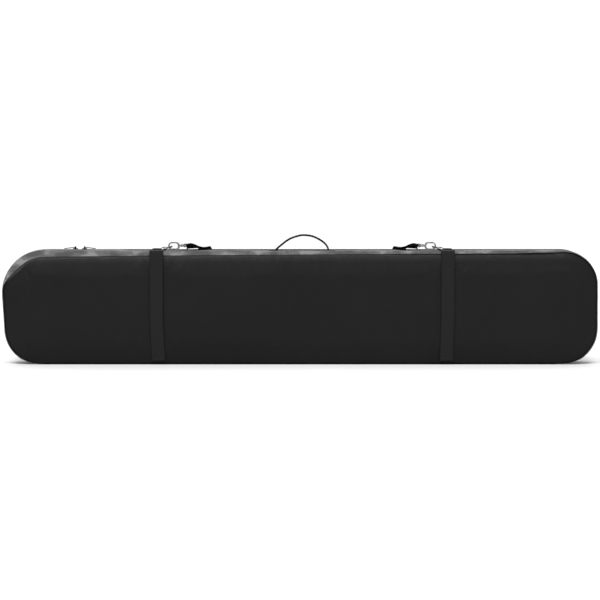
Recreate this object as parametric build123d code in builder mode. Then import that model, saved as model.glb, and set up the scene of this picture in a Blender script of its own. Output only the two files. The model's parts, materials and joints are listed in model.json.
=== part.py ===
from build123d import *
import math
import os

# Padded snowboard bag standing on its bottom gusset.
# X runs along the bag, Y from the back panel to the lid, Z up. The origin is on the floor,
# under the middle of the bag. All sizes are in millimetres.

os.makedirs("parts", exist_ok=True)

# ---- bag ----
LENGTH = 1660.0          # over the two ends
HEIGHT = 316.0           # floor to the top gusset
DEPTH = 150.0            # back panel face to lid hinge line
END_LEAN = 17.0          # how far the left end leans in towards its bottom corner
TOP_LEFT_RADIUS = 115.0
TOP_RIGHT_RADIUS = 95.0
BOTTOM_LEFT_RADIUS = 100.0
BOTTOM_RIGHT_RADIUS = 100.0
SHELL = 1.2              # outer fabric
FOAM = 6.0               # padding
LINING = 0.8             # inner fabric
GAP = 0.3                # between pieces that move past each other

# ---- zipper and lid ----
ZIP_SETBACK = 23.0       # hinge line to the middle of the zipper
ZIP_LOW = 104.0          # height where the zipper ends on both ends of the bag
TAPE = 0.7               # thickness of the zipper tape
TAPE_WIDTH = 11.0
COIL_WIDTH = 1.5         # one half of the coil
COIL_HEIGHT = 2.5        # coil above the gusset
STOP_LENGTH = 4.0
LID_SET_IN = 1.5         # lid face behind the hinge line
LID_LIFT = 6.0           # lower edge of the lid above the floor
SLIDER_LENGTH = 14.0
SLIDER_WIDTH = 12.0
SLIDER_PLATE = 1.8
SLIDER_X = (-636.0, -610.0)
PULL_LENGTH = 34.0
PULL_WIDTH = 10.0
PULL_THICK = 2.0
PULL_HEEL = 2.4          # pull behind its pin
PULL_DROOP = 7.0         # degrees below level at rest
PIN_RADIUS = 1.0
PIN_RISE = 3.0           # pin above the slider's plate
LOOP_RADIUS = 2.6        # loop that holds the pin
LOOP_WIDTH = 3.0

# ---- outside webbing and fittings ----
FITTINGS_X = 6.0         # middle of the handle and of the two straps
STRAP_SPREAD = 406.0     # middle of the fittings to each strap
STRAP_WIDTH = 38.0
STRAP_THICK = 1.8
STRAP_LOW = 10.0         # lower end of the back straps above the floor
STRAP_OVERLAP = 28.0     # how far the back straps reach past the middle of the gusset
TAB_SIDE_CLEAR = 2.40    # tab to ring on each side
TAB_TAIL = 14.0
TAB_LAYER = 1.6
FITTINGS_Y = -5.0        # row of the handle and the rings
WIRE = 5.0               # D-ring wire
RING_REACH = 25.0
RING_TILT = 15.0
BAR_INWARD = 20.5        # strap middle to the straight bar of the ring
HOOK_WALL = 4.5
HOOK_THICK = 5.0
HOOK_SLOT = 23.0
HOOK_BORE = 14.0
HOOK_START = 34.0        # strap middle to the near end of the hook's slot
HOOK_RISE = 13.0         # middle of the hook above the gusset
GATE_LENGTH = 15.4
GATE_THICK = 4.0
POST_RISE = 14.5         # swivel axis above the gusset
POST_RADIUS = 2.4
POST_HEAD = 4.0
EYE_BAR = 4.0
EYE_OPENING = 7.5
EYE_SPAN = 39.0
EYE_THICK = 4.5
SHOULDER_WIDTH = 36.0
SHOULDER_THICK = 2.0
SHOULDER_CLEAR = 3.5     # strap middle in front of the lid face
HANDLE_SPAN = 148.0
HANDLE_RISE = 46.5
HANDLE_THICK = 5.0
FOOT_LENGTH = 24.0
FOOT_THICK = 2.4

# ---- inside ----
TIE_SPREAD = 300.0
TIE_WIDTH = 25.0
TIE_THICK = 1.5
TIE_OFF = 2.6            # webbing in front of the back lining
BUCKLE_Z = 130.0
SOCKET = (34.0, 36.0, 10.0)
PLUG = (32.0, 12.0, 10.0)
PRONG = (4.0, 24.0, 3.6)
BINDING = 12.0

# ---- worked out ----
BACK_Y = -DEPTH / 2
HINGE_Y = DEPTH / 2
FOAM_Y = BACK_Y + SHELL
LINING_Y = FOAM_Y + FOAM
INNER_Y = LINING_Y + LINING
ZIP_Y = HINGE_Y - ZIP_SETBACK
BODY_EDGE_Y = ZIP_Y - COIL_WIDTH - GAP / 2
LID_EDGE_Y = ZIP_Y + COIL_WIDTH + GAP / 2
LID_FACE_Y = HINGE_Y - LID_SET_IN
LID_FOAM_Y = LID_FACE_Y - SHELL
LID_LINING_Y = LID_FOAM_Y - FOAM
LID_INNER_Y = LID_LINING_Y - LINING
LOWER_EDGE_Y = LID_INNER_Y - GAP
WALL = SHELL + FOAM + LINING
END_X = LENGTH / 2 - max(TOP_LEFT_RADIUS, BOTTOM_LEFT_RADIUS, TOP_RIGHT_RADIUS, BOTTOM_RIGHT_RADIUS)
COIL_TOP = HEIGHT + COIL_HEIGHT
STRAP_TOP = HEIGHT + STRAP_THICK
BAR_Z = STRAP_TOP + TAB_LAYER + WIRE / 2 + GAP
TAB_LOOP = WIRE / 2 + GAP + TAB_LAYER
TAB_WIDTH = 2 * (math.sqrt((RING_REACH - WIRE) ** 2 - (TAB_LOOP + WIRE / 2) ** 2) - TAB_SIDE_CLEAR)
HOOK_Z = HEIGHT + HOOK_RISE
POST_Z = HEIGHT + POST_RISE
HOOK_END = HOOK_START + HOOK_SLOT + 6.0
EYE_START = HOOK_END + 2.0
EYE_END = EYE_START + 2 * EYE_BAR + EYE_OPENING
FAR = 2 * LENGTH


def save(piece, name):
    piece.part.label = name
    export_step(piece.part, f"parts/{name}.step")


def upright(y):
    """Upright plane at a depth, facing the back, so that a negative extrusion goes towards the lid."""
    return Plane(origin=(0, y, 0), x_dir=(1, 0, 0), z_dir=(0, -1, 0))


def bag_side(inset):
    """Side outline of the bag, set in by a distance."""
    # the leaning end meets the top-left arc a little inside its corner
    lean_at_arc = END_LEAN * TOP_LEFT_RADIUS / HEIGHT
    corner_x = -LENGTH / 2 - lean_at_arc
    with BuildSketch(mode=Mode.PRIVATE) as side:
        with BuildLine():
            FilletPolyline(
                (corner_x, HEIGHT),
                (LENGTH / 2, HEIGHT),
                (LENGTH / 2, 0),
                (corner_x + END_LEAN, 0),
                radius=[TOP_LEFT_RADIUS, TOP_RIGHT_RADIUS, BOTTOM_RIGHT_RADIUS, BOTTOM_LEFT_RADIUS],
                close=True,
            )
        make_face()
        if inset:
            offset(amount=-inset)
    return side.sketch


def keep_zone(x_range, z_range):
    """Keeps the part of the sketch inside a rectangle."""
    middle = ((x_range[0] + x_range[1]) / 2, (z_range[0] + z_range[1]) / 2)
    with Locations(middle):
        Rectangle(x_range[1] - x_range[0], z_range[1] - z_range[0], mode=Mode.INTERSECT)


def side_panel(name, inset, y_from, y_to, floor=-FAR):
    with BuildPart() as piece:
        with BuildSketch(upright(y_from)):
            add(bag_side(inset))
            keep_zone((-FAR, FAR), (floor, FAR))
        extrude(amount=y_from - y_to)
    save(piece, name)


def rim(name, insets, steps):
    """Part of the rim between two insets, one slab for each (y range, x range, z range)."""
    with BuildPart() as piece:
        for y_range, x_range, z_range in steps:
            with BuildSketch(upright(y_range[0])):
                add(bag_side(insets[0]))
                add(bag_side(insets[1]), mode=Mode.SUBTRACT)
                keep_zone(x_range, z_range)
            extrude(amount=y_range[0] - y_range[1])
    save(piece, name)


def across(u, side):
    """X of a point that lies u inward of the left (side -1) or right (side 1) back strap."""
    return FITTINGS_X + side * (STRAP_SPREAD - u)


def slab(size, middle):
    """Plain block between its middle and its three sizes."""
    with Locations(middle):
        Box(*size)


# ---- back panel ----
side_panel("back_panel_shell", 0, BACK_Y, FOAM_Y)
side_panel("back_panel_foam", SHELL, FOAM_Y, LINING_Y)
side_panel("back_panel_lining", SHELL + FOAM, LINING_Y, INNER_Y)

# ---- gusset: top, bottom and two ends, each in three layers ----
TOP_ZONE = ((-END_X, END_X), (HEIGHT / 2, FAR))
BOTTOM_ZONE = ((-END_X, END_X), (-FAR, HEIGHT / 2))
LAYERS = (
    ("shell", 0.0, SHELL, FOAM_Y),
    ("foam", SHELL, SHELL + FOAM, LINING_Y),
    ("lining", SHELL + FOAM, WALL, INNER_Y),
)
for layer, outer, inner, start_y in LAYERS:
    insets = (outer, inner)
    rim(f"top_gusset_{layer}", insets, [((start_y, BODY_EDGE_Y), *TOP_ZONE)])
    rim(f"bottom_gusset_{layer}", insets, [((start_y, LOWER_EDGE_Y), *BOTTOM_ZONE)])
    for end_name, x_range in (("left", (-FAR, -END_X)), ("right", (END_X, FAR))):
        rim(
            f"{end_name}_end_{layer}",
            insets,
            [
                ((start_y, BODY_EDGE_Y), x_range, (-FAR, FAR)),
                ((BODY_EDGE_Y, LOWER_EDGE_Y), x_range, (-FAR, ZIP_LOW - GAP)),
            ],
        )

# ---- fabric hinge along the bottom front edge ----
with BuildPart() as hinge_strip:
    with BuildSketch(Plane(origin=(-END_X, 0, 0), x_dir=(0, 1, 0), z_dir=(1, 0, 0))):
        with Locations((LOWER_EDGE_Y, 0)):
            Rectangle(LID_FACE_Y - LOWER_EDGE_Y, SHELL, align=(Align.MIN, Align.MIN))
    extrude(amount=2 * END_X)
save(hinge_strip, "lid_hinge_strip")

# ---- binding over the raw seam inside the back panel ----
rim("inner_seam_binding", (WALL, WALL + LINING), [((INNER_Y, INNER_Y + BINDING), (-FAR, FAR), (-FAR, FAR))])

# ---- zipper ----
UPPER = ((-FAR, FAR), (ZIP_LOW, FAR))
ABOVE_STOPS = ((-FAR, FAR), (ZIP_LOW + STOP_LENGTH, FAR))
rim("body_zipper_tape", (-TAPE, 0.0), [((BODY_EDGE_Y - TAPE_WIDTH, BODY_EDGE_Y), *UPPER)])
rim("body_zipper_coil", (-COIL_HEIGHT, 0.0), [((BODY_EDGE_Y, BODY_EDGE_Y + COIL_WIDTH), *ABOVE_STOPS)])
rim("lid_zipper_tape", (-TAPE, 0.0), [((LID_EDGE_Y, LID_EDGE_Y + TAPE_WIDTH), *UPPER)])
rim("lid_zipper_coil", (-COIL_HEIGHT, 0.0), [((LID_EDGE_Y - COIL_WIDTH, LID_EDGE_Y), *ABOVE_STOPS)])
rim(
    "zipper_end_stops",
    (-COIL_HEIGHT, 0.0),
    [
        ((BODY_EDGE_Y, BODY_EDGE_Y + COIL_WIDTH), x_range, (ZIP_LOW, ZIP_LOW + STOP_LENGTH - GAP))
        for x_range in ((-FAR, 0), (0, FAR))
    ],
)

# ---- lid ----
side_panel("lid_shell", 0, LID_FOAM_Y, LID_FACE_Y, LID_LIFT)
side_panel("lid_foam", SHELL, LID_LINING_Y, LID_FOAM_Y, LID_LIFT)
side_panel("lid_lining", SHELL, LID_INNER_Y, LID_LINING_Y, LID_LIFT)
rim("lid_return_shell", (0.0, SHELL), [((LID_EDGE_Y, LID_FOAM_Y), *UPPER)])
rim("lid_return_foam", (SHELL, SHELL + FOAM), [((LID_EDGE_Y, LID_INNER_Y), *UPPER)])

# ---- sliders and pulls, parked side by side near the left end ----
SLIDER_BASE = COIL_TOP + 0.5
SLIDER_TOP = SLIDER_BASE + SLIDER_PLATE
PIN_Z = SLIDER_TOP + PIN_RISE
FORK_GAP = LOOP_WIDTH + 4 * GAP
FORK_DEPTH = PULL_HEEL + LOOP_RADIUS + 1
DROOP = math.radians(PULL_DROOP)
for name, x, outward in (("left", SLIDER_X[0], -1), ("right", SLIDER_X[1], 1)):
    with BuildPart() as slider:
        slab((SLIDER_LENGTH, SLIDER_WIDTH, SLIDER_PLATE), (x, ZIP_Y, (SLIDER_BASE + SLIDER_TOP) / 2))
        fillet(slider.edges().filter_by(Axis.Z), SLIDER_PLATE)
        flange = (
            SLIDER_LENGTH - 2 * SLIDER_PLATE,
            SLIDER_WIDTH / 2 - COIL_WIDTH - 4 * GAP,
            SLIDER_BASE - HEIGHT - TAPE - GAP,
        )
        slab(flange, (x, ZIP_Y - SLIDER_WIDTH / 2 + flange[1] / 2, SLIDER_BASE - flange[2] / 2))
        with BuildSketch(upright(ZIP_Y - LOOP_WIDTH / 2)):
            with Locations((x, PIN_Z)):
                Circle(LOOP_RADIUS)
            with Locations((x, SLIDER_TOP)):
                Rectangle(2 * LOOP_RADIUS, PIN_RISE, align=(Align.CENTER, Align.MIN))
            with Locations((x, PIN_Z)):
                Circle(PIN_RADIUS + GAP, mode=Mode.SUBTRACT)
        extrude(amount=-LOOP_WIDTH)
    save(slider, f"{name}_zip_slider")

    # the pull leans down from its pin, away from its slider
    pull_plane = Plane(
        origin=(x, ZIP_Y, PIN_Z),
        x_dir=(outward * math.cos(DROOP), 0, -math.sin(DROOP)),
        z_dir=(outward * math.sin(DROOP), 0, math.cos(DROOP)),
    )
    with BuildPart() as pull:
        with BuildSketch(pull_plane.offset(-PULL_THICK / 2)):
            with Locations((-PULL_HEEL, 0)):
                Rectangle(PULL_LENGTH - PULL_WIDTH / 2, PULL_WIDTH, align=(Align.MIN, Align.CENTER))
            with Locations((PULL_LENGTH - PULL_HEEL - PULL_WIDTH / 2, 0)):
                Circle(PULL_WIDTH / 2)
            with Locations((-PULL_HEEL, 0)):
                Rectangle(FORK_DEPTH, FORK_GAP, align=(Align.MIN, Align.CENTER), mode=Mode.SUBTRACT)
        extrude(amount=PULL_THICK)
        with BuildSketch(upright(ZIP_Y - FORK_GAP / 2)):
            with Locations((x, PIN_Z)):
                Circle(PIN_RADIUS)
        extrude(amount=-FORK_GAP)
    save(pull, f"{name}_zip_pull")

# ---- back straps, ring tabs, rings and hooks, left and right ----
SLANT = math.radians(RING_TILT)
GATE_START = HOOK_START + 3.0
PIVOT_U = GATE_START + GATE_LENGTH - GATE_THICK / 2
PIVOT_Z = HOOK_Z + HOOK_BORE / 2 + HOOK_WALL / 2
SLOT_U = HOOK_START + HOOK_SLOT / 2
for name, side in (("left", -1), ("right", 1)):
    strap_x = across(0, side)

    with BuildPart() as back_strap:
        with BuildSketch(Plane(origin=(strap_x - STRAP_WIDTH / 2, 0, 0), x_dir=(0, 1, 0), z_dir=(1, 0, 0))):
            with BuildLine():
                Polyline(
                    (BACK_Y, STRAP_LOW),
                    (BACK_Y - STRAP_THICK, STRAP_LOW),
                    (BACK_Y - STRAP_THICK, STRAP_TOP),
                    (STRAP_OVERLAP, STRAP_TOP),
                    (STRAP_OVERLAP, HEIGHT),
                    (BACK_Y, HEIGHT),
                    close=True,
                )
            make_face()
        extrude(amount=STRAP_WIDTH)
    save(back_strap, f"{name}_back_strap")

    with BuildPart() as ring_tab:
        tail_top = STRAP_TOP + 2 * TAB_LAYER
        with BuildSketch(upright(FITTINGS_Y - TAB_WIDTH / 2)):
            with BuildLine():
                Polyline(
                    (across(-TAB_TAIL, side), STRAP_TOP),
                    (across(BAR_INWARD, side), STRAP_TOP),
                    (across(BAR_INWARD, side), BAR_Z + TAB_LOOP),
                    (across(BAR_INWARD - 2 * TAB_LOOP, side), tail_top),
                    (across(-TAB_TAIL, side), tail_top),
                    close=True,
                )
            make_face()
            with Locations((across(BAR_INWARD, side), BAR_Z)):
                Circle(TAB_LOOP)
                Circle(TAB_LOOP - TAB_LAYER, mode=Mode.SUBTRACT)
        extrude(amount=-TAB_WIDTH)
    save(ring_tab, f"{name}_ring_tab")

    # the ring lies nearly flat, its bar in the tab and its round side towards the middle of the bag
    ring_plane = Plane(
        origin=(across(BAR_INWARD, side), FITTINGS_Y, BAR_Z),
        x_dir=(-side * math.cos(SLANT), 0, math.sin(SLANT)),
        z_dir=(side * math.sin(SLANT), 0, math.cos(SLANT)),
    )
    with BuildPart() as d_ring:
        with BuildSketch(ring_plane.offset(-WIRE / 2)):
            with Locations((-WIRE / 2, 0)):
                Circle(RING_REACH)
                Circle(RING_REACH - WIRE, mode=Mode.SUBTRACT)
                Rectangle(WIRE, 2 * RING_REACH - WIRE, align=(Align.MIN, Align.CENTER))
                Rectangle(RING_REACH, 2 * RING_REACH, align=(Align.MIN, Align.CENTER), mode=Mode.INTERSECT)
        extrude(amount=WIRE)
        fillet(d_ring.edges(), WIRE / 2 - 0.35)
    save(d_ring, f"{name}_d_ring")

    with BuildPart() as hook:
        with BuildSketch(upright(FITTINGS_Y - HOOK_THICK / 2)):
            outer_length = HOOK_END - HOOK_START + HOOK_WALL
            with Locations((across((HOOK_START - HOOK_WALL + HOOK_END) / 2, side), HOOK_Z)):
                SlotOverall(outer_length, HOOK_BORE + 2 * HOOK_WALL)
            with Locations((across(SLOT_U, side), HOOK_Z)):
                SlotOverall(HOOK_SLOT, HOOK_BORE, mode=Mode.SUBTRACT)
            with Locations((across(GATE_START + GATE_LENGTH / 2, side), HOOK_Z + HOOK_BORE / 2)):
                Rectangle(
                    GATE_LENGTH + 2 * GAP,
                    2 * HOOK_WALL,
                    align=(Align.CENTER, Align.CENTER),
                    mode=Mode.SUBTRACT,
                )
        extrude(amount=-HOOK_THICK)
        post_plane = Plane(
            origin=(across(HOOK_END - 1.0, side), FITTINGS_Y, POST_Z), x_dir=(0, 1, 0), z_dir=(-side, 0, 0)
        )
        with BuildSketch(post_plane):
            Circle(POST_RADIUS)
        extrude(amount=EYE_START + EYE_BAR + GAP - HOOK_END + 1.0)
        with BuildSketch(post_plane.offset(EYE_START + EYE_BAR + GAP - HOOK_END + 1.0)):
            Circle(POST_HEAD)
        extrude(amount=1.6)
    save(hook, f"{name}_snap_hook")

    with BuildPart() as gate:
        with BuildSketch(upright(FITTINGS_Y - GATE_THICK / 2)):
            with Locations((across(PIVOT_U, side), PIVOT_Z)):
                Circle(GATE_THICK / 2)
            with Locations((across((GATE_START + GAP + PIVOT_U) / 2, side), PIVOT_Z)):
                Rectangle(PIVOT_U - GATE_START - GAP, GATE_THICK)
        extrude(amount=-GATE_THICK)
    save(gate, f"{name}_hook_gate")

    with BuildPart() as eye:
        eye_middle = across((EYE_START + EYE_END) / 2, side)
        slab((EYE_END - EYE_START, EYE_SPAN + 2 * EYE_BAR, EYE_THICK), (eye_middle, FITTINGS_Y, POST_Z))
        fillet(eye.edges().filter_by(Axis.Z), EYE_BAR)
        with Locations((eye_middle, FITTINGS_Y, POST_Z)):
            Box(EYE_OPENING, EYE_SPAN, EYE_THICK, mode=Mode.SUBTRACT)
        with BuildSketch(Plane(origin=(across(EYE_START, side), FITTINGS_Y, POST_Z), z_dir=(-side, 0, 0))):
            Circle(POST_HEAD)
        extrude(amount=EYE_BAR)
        with BuildSketch(Plane(origin=(across(EYE_START, side), FITTINGS_Y, POST_Z), z_dir=(-side, 0, 0))):
            Circle(POST_RADIUS + GAP)
        extrude(amount=EYE_BAR, mode=Mode.SUBTRACT)
    save(eye, f"{name}_swivel_eye")

# ---- shoulder strap: from eye to eye, over the far edge and down in front of the lid ----
# Each station gives the distance inward of the back strap, the depth, the height, and the
# turn of the webbing's face from up (0) to forward (90). The right half mirrors the left.
HANG_Y = LID_FACE_Y + SHOULDER_CLEAR
STATIONS = [
    (EYE_END + 1.8, FITTINGS_Y, POST_Z, 0),
    (EYE_END + 12, FITTINGS_Y + 4, POST_Z + 4, 4),
    (EYE_END + 27, FITTINGS_Y + 18, POST_Z + 5, 10),
    (EYE_END + 44, FITTINGS_Y + 42, HEIGHT + 9.5, 14),
    (EYE_END + 57, HANG_Y - 11, HEIGHT + 9.0, 20),
    (EYE_END + 64, HANG_Y + 1.5, HEIGHT + 3.5, 52),
    (EYE_END + 68, HANG_Y, HEIGHT - 16, 90),
    (EYE_END + 92, HANG_Y, HEIGHT - 96, 90),
    (EYE_END + 122, HANG_Y, HEIGHT - 158, 90),
    (EYE_END + 168, HANG_Y, HEIGHT - 206, 90),
    (EYE_END + 228, HANG_Y, HEIGHT - 234, 90),
    (STRAP_SPREAD, HANG_Y, HEIGHT - 242, 90),
]
route = [(Vector(across(u, -1), y, z), turn) for u, y, z, turn in STATIONS]
route += [(Vector(across(u, 1), y, z), turn) for u, y, z, turn in reversed(STATIONS[:-1])]


def station_plane(index):
    """Plane square to the strap's route at a station, with its X along the webbing's width."""
    before = route[max(index - 1, 0)][0]
    after = route[min(index + 1, len(route) - 1)][0]
    along = (after - before).normalized()
    if index in (0, len(route) - 1):
        along = Vector(1, 0, 0)
    turn = math.radians(route[index][1])
    face = Vector(0, math.sin(turn), math.cos(turn))
    width = face.cross(along).normalized()
    return Plane(origin=route[index][0], x_dir=width, z_dir=along)


with BuildPart() as shoulder_strap:
    for index in range(len(route)):
        with BuildSketch(station_plane(index)):
            Rectangle(SHOULDER_WIDTH, SHOULDER_THICK)
    loft(ruled=True)
    # a sewn loop round the bar of each eye
    for side in (-1, 1):
        bar_u = EYE_END - EYE_BAR / 2
        with BuildSketch(upright(FITTINGS_Y - SHOULDER_WIDTH / 2)):
            with Locations((across(bar_u, side), POST_Z)):
                RectangleRounded(EYE_BAR + 4.4, EYE_THICK + 4.4, 2.0)
                Rectangle(EYE_BAR + 2 * GAP, EYE_THICK + 2 * GAP, mode=Mode.SUBTRACT)
        extrude(amount=-SHOULDER_WIDTH)
save(shoulder_strap, "shoulder_strap")

# ---- length adjuster on the straight drop of the strap ----
drop_top = route[6][0]
drop_end = route[7][0]
down = (drop_end - drop_top).normalized()
ADJUSTER_AT = 42.0
ADJUSTER = (46.0, 26.0, 3.0)
adjuster_middle = drop_top + down * ADJUSTER_AT + Vector(0, SHOULDER_THICK / 2 + GAP, 0)
with BuildPart() as adjuster:
    with BuildSketch(Plane(origin=adjuster_middle, x_dir=Vector(0, 1, 0).cross(down), z_dir=(0, 1, 0))):
        RectangleRounded(ADJUSTER[0], ADJUSTER[1], 4)
        with GridLocations(0, ADJUSTER[1] / 2 - 2, 1, 2):
            Rectangle(EYE_SPAN - 1, 5.0, mode=Mode.SUBTRACT)
    extrude(amount=ADJUSTER[2])
save(adjuster, "strap_adjuster")

# ---- carry handle ----
HANDLE_LEFT = FITTINGS_X - HANDLE_SPAN / 2
HANDLE_RIGHT = FITTINGS_X + HANDLE_SPAN / 2
HANDLE_BASE = HEIGHT + FOOT_THICK + GAP
for name, x, outward in (("left", HANDLE_LEFT, -1), ("right", HANDLE_RIGHT, 1)):
    foot_x = x + outward * FOOT_LENGTH / 4
    with BuildPart() as foot:
        slab((FOOT_LENGTH, STRAP_WIDTH, FOOT_THICK), (foot_x, FITTINGS_Y, HEIGHT + FOOT_THICK / 2))
    save(foot, f"{name}_handle_foot")

with BuildPart() as handle:
    crown = HEIGHT + HANDLE_RISE - HANDLE_THICK / 2
    with BuildSketch(upright(FITTINGS_Y - STRAP_WIDTH / 2)):
        with BuildLine() as arch:
            Spline(
                (HANDLE_LEFT, HANDLE_BASE),
                (FITTINGS_X - HANDLE_SPAN * 0.26, HEIGHT + HANDLE_RISE * 0.74),
                (FITTINGS_X + HANDLE_SPAN * 0.04, crown),
                (FITTINGS_X + HANDLE_SPAN * 0.33, HEIGHT + HANDLE_RISE * 0.66),
                (HANDLE_RIGHT, HANDLE_BASE),
            )
        trace(line_width=HANDLE_THICK)
        with Locations((FITTINGS_X, HANDLE_BASE)):
            Rectangle(FAR, FAR, align=(Align.CENTER, Align.MIN), mode=Mode.INTERSECT)
    extrude(amount=-STRAP_WIDTH)
save(handle, "carry_handle")

# ---- tie-down straps with side-release buckles, inside on the back panel ----
TIE_Y = INNER_Y + TIE_OFF
TIE_TOP = HEIGHT - WALL - LINING
TIE_BOTTOM = WALL + LINING
SOCKET_TOP = BUCKLE_Z + SOCKET[1]
PLUG_BASE = SOCKET_TOP + GAP
PLUG_TOP = PLUG_BASE + PLUG[1]
BUCKLE_Y = INNER_Y + 0.5 + SOCKET[2] / 2
PRONG_Y = TIE_Y + TIE_THICK + 3 * GAP + PRONG[2] / 2
ANCHOR = 10.0
for name, side in (("left", -1), ("right", 1)):
    tie_x = side * TIE_SPREAD
    anchor = (TIE_WIDTH, TIE_OFF + TIE_THICK, ANCHOR)
    anchor_y = INNER_Y + anchor[1] / 2
    with BuildPart() as upper_tie:
        slab(
            (TIE_WIDTH, TIE_THICK, TIE_TOP - SOCKET_TOP - 2),
            (tie_x, TIE_Y + TIE_THICK / 2, (TIE_TOP + SOCKET_TOP + 2) / 2),
        )
        slab(anchor, (tie_x, anchor_y, TIE_TOP - ANCHOR / 2))
    save(upper_tie, f"{name}_upper_tie_webbing")

    with BuildPart() as lower_tie:
        slab(
            (TIE_WIDTH, TIE_THICK, BUCKLE_Z - TIE_BOTTOM),
            (tie_x, TIE_Y + TIE_THICK / 2, (BUCKLE_Z + TIE_BOTTOM) / 2),
        )
        slab(anchor, (tie_x, anchor_y, TIE_BOTTOM + ANCHOR / 2))
    save(lower_tie, f"{name}_lower_tie_webbing")

    with BuildPart() as socket:
        slab((SOCKET[0], SOCKET[2], SOCKET[1]), (tie_x, BUCKLE_Y, BUCKLE_Z + SOCKET[1] / 2))
        fillet(socket.edges().filter_by(Axis.Y), 3)
        mouth = (2 * PRONG[0] + 14 + 1.2, PRONG[2] + 1.0, PRONG[1] + 3)
        with Locations((tie_x, PRONG_Y, SOCKET_TOP - mouth[2] / 2)):
            Box(*mouth, mode=Mode.SUBTRACT)
    save(socket, f"{name}_buckle_socket")

    with BuildPart() as plug:
        slab((PLUG[0], PLUG[2], PLUG[1]), (tie_x, BUCKLE_Y, PLUG_BASE + PLUG[1] / 2))
        fillet(plug.edges().filter_by(Axis.Y), 2)
        slot = (TIE_WIDTH + 4 * GAP, TIE_THICK + 4 * GAP, PLUG[1])
        with Locations((tie_x, TIE_Y + TIE_THICK / 2, PLUG_BASE + PLUG[1] / 2)):
            Box(*slot, mode=Mode.SUBTRACT)
        for prong_side in (-1, 1):
            prong_x = tie_x + prong_side * (7 + PRONG[0] / 2)
            slab((PRONG[0], PRONG[2], PRONG[1] + 1), (prong_x, PRONG_Y, PLUG_BASE - PRONG[1] / 2 + 0.5))
    save(plug, f"{name}_buckle_plug")
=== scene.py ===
import json
import math

import bmesh
import bpy
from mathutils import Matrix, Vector, noise


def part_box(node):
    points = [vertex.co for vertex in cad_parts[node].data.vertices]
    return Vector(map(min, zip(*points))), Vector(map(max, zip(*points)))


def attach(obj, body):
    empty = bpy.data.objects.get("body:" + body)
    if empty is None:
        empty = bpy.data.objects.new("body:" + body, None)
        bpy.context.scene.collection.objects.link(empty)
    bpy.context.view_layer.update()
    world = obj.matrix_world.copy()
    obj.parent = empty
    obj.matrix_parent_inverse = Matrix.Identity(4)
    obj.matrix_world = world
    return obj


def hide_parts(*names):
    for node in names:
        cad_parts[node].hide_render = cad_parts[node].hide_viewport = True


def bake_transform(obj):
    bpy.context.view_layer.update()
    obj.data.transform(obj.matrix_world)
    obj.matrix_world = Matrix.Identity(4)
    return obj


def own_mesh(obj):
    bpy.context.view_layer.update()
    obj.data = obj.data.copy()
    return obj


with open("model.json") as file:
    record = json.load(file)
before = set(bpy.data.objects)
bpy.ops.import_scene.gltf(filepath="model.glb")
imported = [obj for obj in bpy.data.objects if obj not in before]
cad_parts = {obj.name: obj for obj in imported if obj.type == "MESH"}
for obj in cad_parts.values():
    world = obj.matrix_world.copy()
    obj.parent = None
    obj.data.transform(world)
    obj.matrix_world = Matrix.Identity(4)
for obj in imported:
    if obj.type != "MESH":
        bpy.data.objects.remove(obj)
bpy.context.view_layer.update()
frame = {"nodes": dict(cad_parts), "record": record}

# Looks of the padded snowboard bag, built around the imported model. Lengths are in metres.

ALONG, ACROSS, UP = Vector((1, 0, 0)), Vector((0, 1, 0)), Vector((0, 0, 1))

# ---- sizes shared with the model ----
BACK_LO, BACK_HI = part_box("back_panel_shell")
LID_LO, LID_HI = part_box("lid_shell")
TAPE_LO, TAPE_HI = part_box("body_zipper_tape")
HALF = BACK_HI.x
HEIGHT = BACK_HI.z
BACK_Y = BACK_LO.y
LID_Y = LID_HI.y
SEAM_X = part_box("top_gusset_shell")[1].x
ZIP_END_Z = TAPE_LO.z
BODY_EDGE_Y = TAPE_HI.y
LID_EDGE_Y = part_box("lid_zipper_tape")[0].y
LOWER_EDGE_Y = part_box("bottom_gusset_shell")[1].y
END_LEAN = 0.017         # how far the left end leans out at its top
CORNERS = {"top_left": 0.115, "top_right": 0.095, "bottom_right": 0.100, "bottom_left": 0.100}
ROLL = 0.008             # radius of the rolled edge between lid and return strip
BACK_ROLL = 0.012        # radius of the softer edge between gusset and back panel
CLOTH = 0.0012           # thickness of the outer fabric
STEP = 0.008             # mesh spacing on the large panels
SPINE = HEIGHT / 2
QUILT = 0.060            # between two stitched lines of the lining
COIL_GAP = 0.0035        # edge of the fabric to the zipper's tape edge
SWELL = 0.004            # outward swell of the gusset's strips
EDGE_FOLD = 0.016        # reach of the soft fall towards a panel's seam
STRAPS = [sum(corner.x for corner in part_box(f"{side}_back_strap")) / 2 for side in ("left", "right")]
STRAP_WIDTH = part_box("left_back_strap")[1].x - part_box("left_back_strap")[0].x
FITTINGS_X = (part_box("left_swivel_eye")[0].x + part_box("right_swivel_eye")[1].x) / 2


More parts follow.
